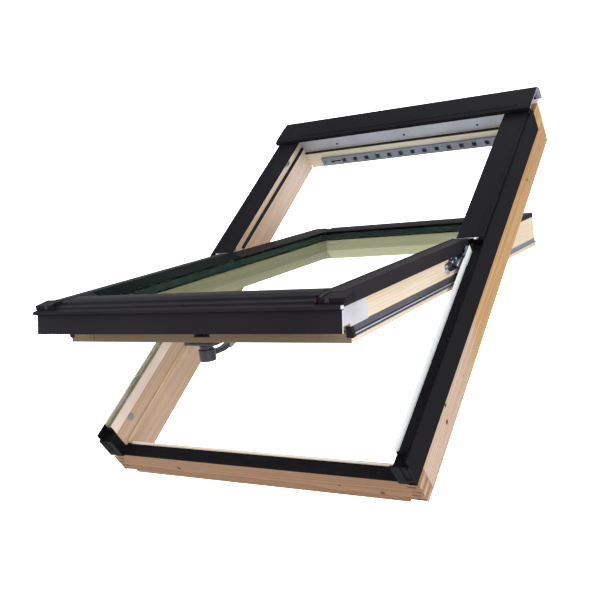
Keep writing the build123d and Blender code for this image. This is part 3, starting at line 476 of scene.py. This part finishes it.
# Head hood: one folded graphite sheet that caps the head. A slimmer band is lapped over each end, a rolled
# line stiffens the front, and a pale lining sheet shows in the open ends.
SLIM = (0.4, 3)
eased("head_hood", BENT, sheet_frame)
BAND_INNER = 356.0
HOOD_END = 392.0
band = [(1094.1, 138.3), (1094.1, 149.4), (1110.7, 151.3), (1170.0, 151.3),
        (1170.0, 150.4), (1111.0, 150.4), (1095.0, 148.9), (1095.0, 138.3)]
pair("hood_band_%s", "u", band, (BAND_INNER, HOOD_END), sheet_frame, "frame", CRISP)
line = [(1108.5, 150.0), (1109.6, 151.3), (1112.4, 151.5), (1113.6, 150.3)]
length("hood_line", "u", line, (-BAND_INNER, BAND_INNER), sheet_frame, "frame", SLIM)
hood_lining = drawn_metal("hood_lining", PITCH, (0.40, 0.40, 0.56), rough=0.45, metal=0.3)
hood_edge = [(1095.1, 138.6), (1095.1, 148.9), (1111.0, 150.4), (1186.9, 150.4),
             (1199.9, 137.4), (1199.9, 104.7), (1196.4, 104.7), (1196.4, 136.0),
             (1185.6, 147.0), (1112.0, 147.0), (1098.4, 145.8), (1098.4, 138.6)]
EDGE_RUN = (391.4, 391.95)
pair("hood_edge_%s", "u", hood_edge, EDGE_RUN, hood_lining, "frame")
lining = [(1097.0, 139.0), (1097.0, 147.0), (1112.0, 148.6), (1186.0, 148.6),
          (1197.6, 137.0), (1197.6, 107.0), (1197.0, 107.0), (1197.0, 136.7),
          (1185.7, 148.0), (1112.1, 148.0), (1097.6, 146.5), (1097.6, 139.0)]
LINING_RUN = (376.0, 391.6)
pair("hood_lining_%s", "u", lining, LINING_RUN, hood_lining, "frame")

# Screws: pan-head steel screws, plated in dark zinc.
# They are driven into the head board and hold the bright strip and the vent box.
zinc = drawn_metal("dark_zinc", PITCH, (0.10, 0.10, 0.12), rough=0.40)
for screws in ("flashing_screws", "vent_screws"):
    eased(screws, SHEARED, zinc)

# Seals: soft black rubber lips that press against the shut sash.
# They are drawn in long lengths and pushed into saw cuts in the rebate.
FULL = (1.2, 3)
rubber = moulded("rubber_lip", (0.011, 0.011, 0.012), rough=0.62, grain=1400.0, shine=0.2)
for lip in ("head_gasket", "jamb_gasket_left", "jamb_gasket_right"):
    eased(lip, FULL, rubber)

# Vent: a pressed and painted metal box along the head, screwed on at both ends.
# A perforated slide behind its face opens and closes a row of square holes. The slide is dark brown and each
# hole has a dark rim: painted shade for the shadowed wood and hole walls seen in the holes.
vent_paint = moulded("vent_paint", (0.262, 0.278, 0.368), rough=0.45, grain=700.0)
eased("vent_grille", FOLD, vent_paint)
# painted shade: the slide takes the dark brown of shaded wood
vent_slide = moulded("vent_slide", (0.040, 0.026, 0.018), rough=0.45)
eased("vent_shutter", SHEARED, vent_slide)
HOLES = 13
HOLE_PITCH = 38.0
HOLE_LEVEL = 20.0
HOLE = 4.5
RIM = 6.4
UPRIGHTS = ((-RIM, -RIM, -HOLE, RIM), (HOLE, -RIM, RIM, RIM))
CROSSES = ((-HOLE, -RIM, HOLE, -HOLE), (-HOLE, HOLE, HOLE, RIM))
RING = UPRIGHTS + CROSSES
VENT_FACE = 1151.0
RIM_PROUD = 0.5
RIM_SUNK = 0.2
RIM_DEPTH = (VENT_FACE - RIM_PROUD, VENT_FACE + RIM_SUNK)
# painted shade: dark rims round each hole
hole_rim_painted_shade = moulded("hole_rim_painted_shade", (0.020, 0.019, 0.024), rough=0.5)
for k in range(HOLES):
    u = (k - HOLES // 2) * HOLE_PITCH
    for j, (u0, w0, u1, w1) in enumerate(RING):
        rim = plain_box(u + u0, u + u1, HOLE_LEVEL + w0, HOLE_LEVEL + w1)
        length(f"vent_hole_shade_{k}_{j}", "v", rim, RIM_DEPTH, hole_rim_painted_shade, "frame")

# Hinge guides and striker: pressed steel plates. The curved guides are let into the jambs.
# The striker is fixed to the inner face of the sill and takes the latch of the handle.
PRESSED = (0.6, 2)
steel_plate = drawn_metal("hinge_steel_plate", PITCH, (0.30, 0.33, 0.40), rough=0.36, along="Y")
for guide in ("hinge_guide_left", "hinge_guide_right"):
    eased(guide, PRESSED, steel_plate)
eased("striker_plate", SHEARED, steel_plate)

# Bush and jamb clip: grey moulded plastic on the left jamb. The round bush is pressed into a bore,
# and the small clip with its dark tongue is pushed onto the rebate near the head.
bush_plastic = moulded("bush_plastic", (0.24, 0.24, 0.30), rough=0.45)
eased("bolt_bush", SOFT, bush_plastic)
clip = [(1042, 94), (1060, 94), (1062, 96), (1062, 102),
        (1060, 103.6), (1042, 103.6), (1040, 102), (1040, 96)]
CLIP_DEPTH = (-353.0, -350.6)
CLIP_ROUND = (0.7, 3)
clip_grey = moulded("clip_grey", (0.30, 0.31, 0.36), rough=0.42)
length("jamb_clip", "u", clip, CLIP_DEPTH, clip_grey, "frame", CLIP_ROUND)
tongue = plain_box(1047, 1055, 96.5, 101)
TONGUE_DEPTH = (-350.8, -349.2)
length("jamb_clip_tongue", "u", tongue, TONGUE_DEPTH, zinc, "frame", ROLLED)

# Sash boards: two rails and two stiles of lacquered pine that carry the glass, glued at the corners.
# The sash turns about a line just outside the covers and stands 33 degrees open.
SASH_LEAN = 12.0
PIVOT = Vector((0, 618.32, 144.0)) * MM
swing = Matrix.Rotation(radians(SASH_LEAN - PITCH), 4, "X")
sash_lie = frame_lie @ Matrix.Translation(PIVOT) @ swing @ Matrix.Translation(-PIVOT)
lies["sash"] = sash_lie
# painted shade: the bottom rail's pine is darkened for the shade under the fascia
RAIL_SHADED_EARLY = (0.20, 0.150, 0.096)
RAIL_SHADED_LATE = (0.145, 0.100, 0.058)
RAIL_SHIFT = (0.20, 0.33, 0.05)
for board, along, early, late, shift in (
    ("sash_bottom_rail", "X", RAIL_SHADED_EARLY, RAIL_SHADED_LATE, RAIL_SHIFT),
    # painted light: the top rail's pine is made paler
    ("sash_top_rail", "X", (0.68, 0.610, 0.490), (0.57, 0.480, 0.365), (0.05, -0.71, 0.085)),
    # painted shade: the left stile's pine is darkened
    ("sash_stile_left", "Y", (0.42, 0.355, 0.285), (0.34, 0.270, 0.205), (0.37, 0.05, -0.30)),
    ("sash_stile_right", "Y", (0.70, 0.620, 0.515), (0.57, 0.470, 0.365), (-0.39, 0.40, -0.33)),
):
    eased(board, ARRIS, pine(board + "_pine", SASH_LEAN, along, early, late, shift))
# painted shade: the cheeks over the stile ends take the bottom rail's darkened pine
rail_cheek_shaded = pine("shaded_rail_end_pine", SASH_LEAN, "X", RAIL_SHADED_EARLY, RAIL_SHADED_LATE, RAIL_SHIFT)
cheek = plain_box(278.0, 343.8, 37.4, 100.0)
CHEEK_RUN = (42.6, 43.4)
pair("rail_cheek_%s", "v", cheek, CHEEK_RUN, rail_cheek_shaded, "sash")

# Glass: a sealed unit of two panes of float glass, glued to a dark green spacer bar.
# Float glass has a green cast that deepens through both panes. The unit rests in the rebate of the sash.


def float_glass(name, tint):
    """Clear float glass with a green body tint, a low-reflection coat and a barely rippled face."""
    mat, tree, shader = material(name)
    feed(tree, shader, {"Base Color": tint, "Roughness": 0.0, "IOR": 1.002, "Transmission Weight": 1.0})
    spot = add(tree, "TexCoord", {}).outputs["Object"]
    waves = noise(tree, spot, scale=2.0, detail=2.0).outputs["Fac"]
    bumped(tree, shader, waves, strength=0.02, depth=0.0005)
    return mat


pane_glass = float_glass("float_glass", (0.86, 0.945, 0.875, 1))
for pane in ("inner_pane", "outer_pane"):
    eased(pane, PRESSED, pane_glass)
spacer_bar = moulded("spacer_bar", (0.022, 0.040, 0.036), rough=0.5, shine=0.1)
eased("glass_spacer", SHEARED, spacer_bar)

# Sash covers and trims: folded graphite sheet, clipped over the stiles and the top rail.
# Each lower cover has a rolled bead along its top, and a dark glazing bead slopes down from it to the glass.
COVER_TOP = 609.0
# painted light: the sash's sheets take a paler copy of the frame's coating
sash_sheet_lit = graphite("graphite_sash_painted_light", SASH_LEAN, shade=1.25, shine=0.055)
for sheet in ("sash_cover_left", "sash_cover_right", "upper_trim_left", "upper_trim_right", "top_trim"):
    eased(sheet, FOLD, sash_sheet_lit)
glazing = moulded("glazing_bead", (0.0062, 0.0135, 0.0118), rough=0.6, shine=0.02)
slope = [(281.0, 121.6), (290.0, 121.6), (312.5, 134.9), (312.2, 135.5), (289.6, 122.3), (281.0, 122.3)]
GLAZING_RUN = (97.0, COVER_TOP)
pair("glazing_bead_%s", "v", slope, GLAZING_RUN, glazing, "sash")
bead = [(313.5, 134.8), (314.6, 136.2), (318.4, 136.2), (319.5, 134.8)]
COVER_BEAD_RUN = (23.0, COVER_TOP)
pair("sash_cover_bead_%s", "v", bead, COVER_BEAD_RUN, sash_sheet_lit, "sash", ROLLED)

# Bottom profile, its ends and the fascia: a stepped, drawn and coated profile lies over the bottom rail and
# carries the fascia. Black moulded pieces with spring clips close its ends. The sawn end of the fascia shows
# as a bright line of bare metal, and the bright end of the ledge is a painted glint.
for sheet in ("bottom_profile", "sash_fascia"):
    eased(sheet, FOLD, sash_sheet_lit)
end_black = moulded("cover_end_black", (0.0125, 0.0112, 0.0145), rough=0.56, shine=0.055)
for end in ("cover_end_left", "cover_end_right"):
    eased(end, BENT, end_black)
clip_dark = moulded("clip_dark", (0.007, 0.007, 0.009), rough=0.45, shine=0.15)
clip_pale = moulded("clip_pale", (0.035, 0.033, 0.038), rough=0.45, shine=0.2)
hook = [(-17.5, 121.3), (-6.0, 121.3), (-6.0, 134.6), (-10.5, 136.4),
        (-13.5, 134.5), (-10.0, 132.4), (-10.0, 125.5), (-17.5, 124.8)]
HOOK_RUN = (315.0, 319.6)
pair("end_clip_%s", "u", hook, HOOK_RUN, clip_dark, "sash", ROLLED)
tongue = [(-14.0, 130.6), (-2.0, 132.2), (16.0, 134.6), (16.0, 136.0), (-2.0, 133.8), (-14.0, 132.0)]
TONGUE_RUN = (322.5, 328.5)
pair("end_tongue_%s", "u", tongue, TONGUE_RUN, clip_dark, "sash", ROLLED)
plate = plain_box(-16.8, -15.9, 122.0, 129.6)
PLATE_RUN = (336.0, 343.5)
THIN = (0.25, 2)
pair("end_plate_%s", "u", plate, PLATE_RUN, clip_pale, "sash", THIN)
cut_metal_and_glint = drawn_metal("cut_end_bright_and_glint", SASH_LEAN, (0.78, 0.80, 0.84), rough=0.32, along="Y", metal=0.4)
fascia_cut = [(-26.0, 71.2), (-23.4, 71.2), (-15.6, 109.8), (-18.0, 109.8)]
FASCIA_CUT_RUN = (367.9, 368.5)
SAWN = (0.1, 2)
pair("fascia_cut_%s", "u", fascia_cut, FASCIA_CUT_RUN, cut_metal_and_glint, "sash", SAWN)
# painted highlight: a bright glint at the ledge's end
ledge_glint = [(-26.8, 113.2), (-19.0, 112.0), (-16.0, 118.0), (-22.0, 119.0), (-26.8, 118.6)]
LEDGE_GLINT_RUN = (370.9, 371.5)
pair("ledge_cut_%s", "u", ledge_glint, LEDGE_GLINT_RUN, cut_metal_and_glint, "sash", SAWN)

# Seal rails: slate coated aluminium rails, fixed along both stiles, with a bright bead and a navy lip.
# A black plug and shoe close the lower end. Above the hinge the rail goes on as a slim blue-grey tail.
RAIL_RUN = (52.0, 544.0)
rail_coat = drawn_metal("rail_coat", SASH_LEAN, (0.10, 0.104, 0.132), rough=0.30, along="Y", metal=0.6)
rail_bright = drawn_metal("rail_bright", SASH_LEAN, (0.62, 0.66, 0.74), rough=0.28, along="Y", metal=0.7)
for rail in ("seal_rail_left", "seal_rail_right"):
    eased(rail, FOLD, rail_coat)
upper_lip = [(344, 62.0), (345.6, 62.6), (345.6, 66.2), (344, 66.8)]
pair("rail_lip_%s", "v", upper_lip, RAIL_RUN, rail_coat, "sash", SLIM)
# painted shade: a dark strip stands for the shadow in the groove
groove = plain_box(343.9, 344.5, 54.2, 55.6)
pair("rail_groove_%s", "v", groove, RAIL_RUN, clip_dark, "sash")
bright_bead = [(344, 50.4), (346.2, 50.8), (346.6, 52.0), (346.2, 53.4), (344, 53.8)]
pair("rail_bead_%s", "v", bright_bead, RAIL_RUN, rail_bright, "sash", SLIM)
navy_lip = moulded("navy_lip", (0.030, 0.034, 0.075), rough=0.45)
seal_lip = [(344, 47.6), (346.8, 47.2), (347.2, 48.6), (346.4, 50.2), (344, 50.3)]
SEAL_LIP_RUN = (50.0, 544.0)
pair("rail_seal_%s", "v", seal_lip, SEAL_LIP_RUN, navy_lip, "sash", SLIM)
tail_blue = drawn_metal("tail_blue", SASH_LEAN, (0.17, 0.18, 0.23), rough=0.36, along="Y", metal=0.3)
tail = [(344, 49.4), (345.8, 49.8), (345.8, 59.2), (344, 59.6)]
TAIL_RUN = (692.0, 1106.0)
pair("tail_bead_%s", "v", tail, TAIL_RUN, tail_blue, "sash", CRISP)
tail_lip = [(344, 46.4), (346.6, 46.8), (346.6, 48.8), (344, 49.3)]
TAIL_LIP_RUN = (692.0, 1109.0)
pair("tail_lip_%s", "v", tail_lip, TAIL_LIP_RUN, rail_bright, "sash", CRISP)
plug = [(335.6, 47.4), (346.6, 46.6), (348.2, 48.0), (348.2, 60.0), (346.0, 67.6), (335.6, 67.6)]
PLUG_RUN = (41.8, 43.3)
pair("rail_plug_%s", "v", plug, PLUG_RUN, clip_dark, "sash", SLIM)
shoe = [(344, 46.6), (348.2, 46.6), (348.8, 48.0), (348.8, 58.0), (346.0, 66.5), (344, 66.5)]
SHOE_RUN = (43.2, 52.0)
pair("rail_shoe_%s", "v", shoe, SHOE_RUN, clip_dark, "sash", BENT)

# Corner plates and fin: pale moulded plates are pressed on to close the lower corners of the sash.
# A blue-grey fin of drawn metal lies along the top of the sash.
corner_grey = moulded("corner_plate_grey", (0.455, 0.450, 0.485), rough=0.48, grain=500.0)
for plate in ("corner_plate_left", "corner_plate_right"):
    eased(plate, SHEARED, corner_grey)
fin_metal = drawn_metal("fin_metal", SASH_LEAN, (0.30, 0.34, 0.44), rough=0.36)
eased("top_fin", FOLD, fin_metal)

# Hinge runners and arms: curved steel runners on the stiles slide in the guides on the jambs.
# A riveted arm with a bent tongue, on a dark gusset plate, steadies each runner below the cover.
STILE_FACE = 344.0
runner_steel = drawn_metal("runner_steel", SASH_LEAN, (0.34, 0.39, 0.50), rough=0.26, along="Y")
arm_blue = drawn_metal("arm_blue", SASH_LEAN, (0.10, 0.14, 0.24), rough=0.24, along="Y")


def capsule(v0, w0, v1, w1, radius, steps=9):
    """The outline of a flat bar with round ends."""
    run = Vector((v1 - v0, w1 - w0)).normalized()
    side = Vector((-run.y, run.x))
    points = []
    for centre, sign in (((v0, w0), 1), ((v1, w1), -1)):
        for i in range(steps):
            turn = pi * i / (steps - 1)
            spot = Vector(centre) + side * (radius * cos(turn) * sign) - run * (radius * sin(turn) * sign)
            points.append((spot.x, spot.y))
    return points


for runner in ("hinge_runner_left", "hinge_runner_right"):
    eased(runner, FOLD, runner_steel)
gusset = [(488.0, 82.0), (506.0, 77.5), (530.0, 77.5), (556.0, 81.5),
          (568.0, 88.0), (566.0, 104.0), (500.0, 100.0), (488.0, 94.0)]
GUSSET_TOP = 345.2
pair("hinge_gusset_%s", "u", gusset, (STILE_FACE, GUSSET_TOP), arm_blue, "sash", CRISP)
for bar, shape, run, metal, edge in (
    ("arm", (484, 92, 540, 100, 7.0), (STILE_FACE, 346.0), runner_steel, ROLLED),
    ("link", (505, 101, 541, 84, 5.0), (346.0, 348.2), arm_blue, ROLLED),
    ("tongue", (482, 84, 490, 78, 3.4), (STILE_FACE, 348.4), rail_bright, ROLLED),
    ("plate", (528, 104, 566, 109, 8.0), (STILE_FACE, 347.2), arm_blue, ROLLED),
    ("shoe", (550, 88, 570, 92, 6.5), (STILE_FACE, 349.6), rail_bright, BENT),
):
    pair(f"hinge_{bar}_%s", "u", capsule(*shape), run, metal, "sash", edge)
RIVET_FOOT = 345.0
RIVET_OVAL = 0.2
RIVETS = ((484, 92, 3.6, 348.0), (512, 97.5, 3.2, 350.2), (538, 86, 3.6, 350.4), (538, 101, 3.0, 348.2))
for k, (v, w, radius, rivet_top) in enumerate(RIVETS):
    head = capsule(v - RIVET_OVAL, w, v + RIVET_OVAL, w, radius)
    pair(f"hinge_rivet_%s_{k}", "u", head, (RIVET_FOOT, rivet_top), rail_bright, "sash", SOFT)

# Handle: a cast and coated lever on a round hub turns the latch through a steel spindle.
# Its base and flange are fixed under the bottom rail, and a pale moulded grip covers the lever's end.
lies["handle"] = sash_lie
LEVER_ROUND = (1.6, 4)
FLANGE_ROUND = (1.6, 3)
CUP_ROUND = (2.2, 3)
GRIP_ROUND = (2.0, 4)
cast = moulded("handle_cast", (0.030, 0.029, 0.041), rough=0.34, grain=1500.0, shine=0.5)
eased("handle_base", FULL, cast)
eased("handle_lever", LEVER_ROUND, cast)
eased("handle_spindle", FOLD, steel_plate)
flange = [(-46, 56), (-42, 53), (30, 53), (34, 56), (34, 80), (30, 83), (-42, 83), (-46, 80)]
FLANGE_LEVEL = (27.5, 36.9)
length("handle_flange", "w", flange, FLANGE_LEVEL, cast, "sash", FLANGE_ROUND)
HUB_PLACE = 68.0
CUP_RADIUS = 16.6
CUP_SIDES = 40
CUP_LEVEL = (-6.0, 18.5)
cup = []
for i in range(CUP_SIDES):
    turn = 2 * pi * i / CUP_SIDES
    cup.append((CUP_RADIUS * cos(turn), HUB_PLACE + CUP_RADIUS * sin(turn)))
length("handle_cup", "w", cup, CUP_LEVEL, cast, "handle", CUP_ROUND)
grip_pale = moulded("grip_pale", (0.34, 0.33, 0.43), rough=0.32, shine=0.5)
grip = [(134.0, 2.6), (141.0, 2.8), (158.0, 8.6), (166.6, 14.0),
        (168.4, 19.6), (165.0, 21.6), (157.0, 20.4), (134.0, 13.6)]
GRIP_RUN = (-8.2, 8.2)
length("handle_grip", "u", grip, GRIP_RUN, grip_pale, "handle", GRIP_ROUND)

# Floor: a pale matt board well below the window.
# It glows a little, so that it stays as light as the backdrop.
FLOOR_REACH = 1.7
FLOOR_LEVEL = -0.55
floor_mat, floor_tree, floor_shader = material("pale_floor")
floor_place = add(floor_tree, "TexCoord", {}).outputs["Object"]
floor_cloud = noise(floor_tree, floor_place, scale=0.8, detail=2.0).outputs["Fac"]
floor_hue = ramp(floor_tree, floor_cloud, 0.0, (0.94, 0.94, 0.94), 1.0, (0.96, 0.96, 0.96))
feed(floor_tree, floor_shader, {"Base Color": floor_hue, "Roughness": 0.9, "Specular IOR Level": 0.0})
feed(floor_tree, floor_shader, {"Emission Color": (*WHITE, 1), "Emission Strength": 0.45})
floor_mesh = bpy.data.meshes.new("floor")
floor_corners = plain_box(-FLOOR_REACH, FLOOR_REACH, -FLOOR_REACH, FLOOR_REACH)
floor_mesh.from_pydata([(x, y, FLOOR_LEVEL) for x, y in floor_corners], [], [(0, 1, 2, 3)])
floor_mesh.materials.append(floor_mat)
floor = bpy.data.objects.new("floor", floor_mesh)
bpy.context.scene.collection.objects.link(floor)

# Studio light: a white surround that is brighter straight on than in bounced light, and three soft lamps.
# The strongest lamp stands to the right, and the weakest hangs above.
STRAIGHT = 3.0
BOUNCED = 0.74
world = bpy.data.worlds.new("studio")
bpy.context.scene.world = world
world.use_nodes = True
sky = world.node_tree
ray = add(sky, "LightPath", {})
bounces = {0: ray.outputs["Diffuse Depth"], 1: ray.outputs["Glossy Depth"]}
bounced = add(sky, "Math", bounces, operation="ADD").outputs["Value"]
power = add(sky, "MapRange", {"Value": bounced, "From Max": 1.0, "To Min": STRAIGHT, "To Max": BOUNCED})
feed(sky, sky.nodes["Background"], {"Color": (*WHITE, 1), "Strength": power.outputs["Result"]})
for light_name, spot_at, aim, size, watts, tint in (
    ("key_left", (-4.5, -1.4, 1.2), (0.0, 0.3, 0.4), 2.4, 60.0, (1.0, 0.99, 0.98)),
    ("side_right", (5.0, -1.6, 1.5), (0.0, 0.3, 0.4), 2.6, 195.0, (1.0, 0.99, 0.97)),
    ("top_soft", (0.2, 1.4, 3.6), (0.0, 0.4, 0.4), 2.4, 30.0, (1.0, 1.0, 1.0)),
):
    lamp = bpy.data.lights.new(light_name, "AREA")
    lamp.shape = "DISK"
    lamp.size = size
    lamp.energy = watts
    lamp.color = tint
    lamp_at = bpy.data.objects.new(light_name, lamp)
    bpy.context.scene.collection.objects.link(lamp_at)
    lamp_at.location = spot_at
    lamp_at.rotation_euler = (Vector(aim) - Vector(spot_at)).to_track_quat("-Z", "Y").to_euler()

# Camera: it stands to the right of the window, above the sill, and looks nearly level at the photo's angle.
# The whole picture is sharp.
EYE = Vector((1.0919, -1.5629, 0.3656))
SENSOR = 36.0
LENS = 52.944
lens = bpy.data.cameras.new("camera")
lens.sensor_width = SENSOR
lens.lens = LENS
camera = bpy.data.objects.new("camera", lens)
bpy.context.scene.collection.objects.link(camera)
to_right = Vector((0.8442, 0.53565, -0.0200)).normalized()
to_front = Vector((-0.53553, 0.84446, 0.00929)).normalized()
to_top = to_right.cross(to_front)
look = Matrix((to_right, to_top, -to_front)).transposed().to_4x4()
look.translation = EYE
camera.matrix_world = look
bpy.context.scene.camera = camera
bpy.context.scene.view_settings.view_transform = "Standard"
